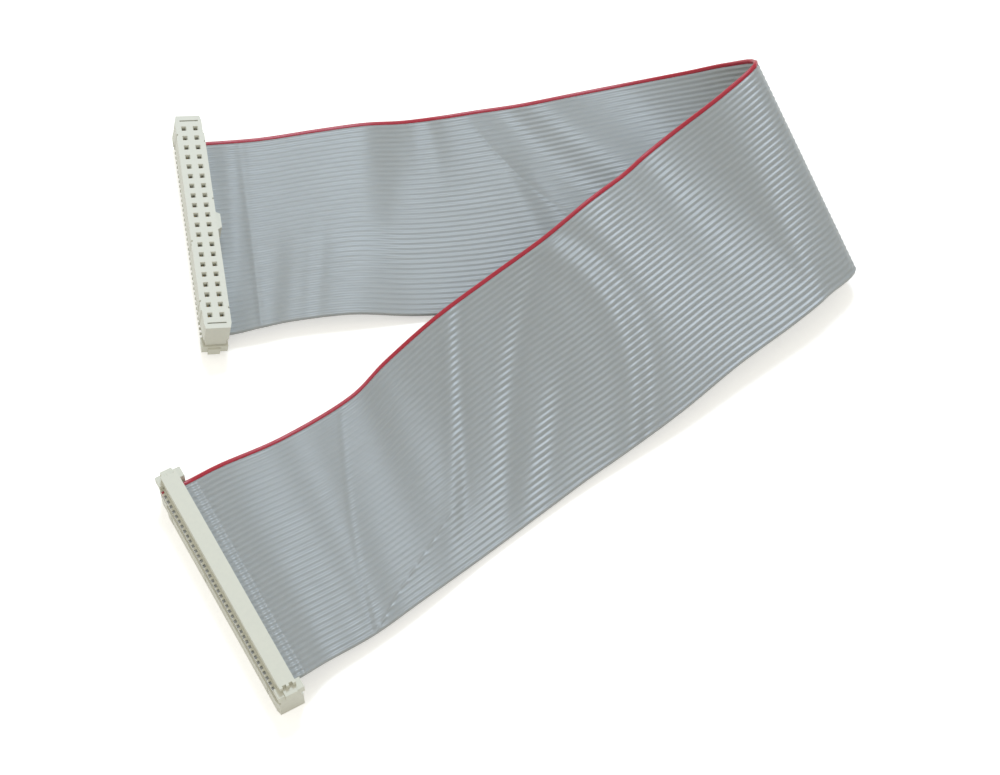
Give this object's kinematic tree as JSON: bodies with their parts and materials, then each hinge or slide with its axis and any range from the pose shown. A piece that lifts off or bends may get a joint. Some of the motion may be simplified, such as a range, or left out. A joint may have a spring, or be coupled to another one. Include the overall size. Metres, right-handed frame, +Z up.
{
  "type": "ribbon cable",
  "caption": "Flat multi-conductor ribbon cable with a marked edge conductor, folded over on itself, with a clamped two-row female socket on each end.",
  "frame": {"origin": "on the surface that the cable lies on, in the middle of the mating face of socket B, which lies face down", "axes": "+X the way that the ribbon runs off before it turns back, +Y from socket B towards socket A, +Z up"},
  "size_m": [0.1536, 0.1405, 0.0198],
  "materials": {
    "ribbon_insulation": "satin grey PVC",
    "red_insulation": "satin red PVC",
    "body_plastic": "satin moulded, pale grey",
    "cover_plastic": "satin moulded, pale grey",
    "contact_metal": "stamped, plated"
  },
  "bodies": {
    "root": {"ribbon": "ribbon_insulation", "red_conductor": "red_insulation", "socket_a_body": "body_plastic", "socket_a_cover": "cover_plastic", "socket_a_contacts_left": "contact_metal", "socket_a_contacts_right": "contact_metal", "socket_b_body": "body_plastic", "socket_b_cover": "cover_plastic", "socket_b_contacts_left": "contact_metal", "socket_b_contacts_right": "contact_metal"}
  },
  "joints": []
}
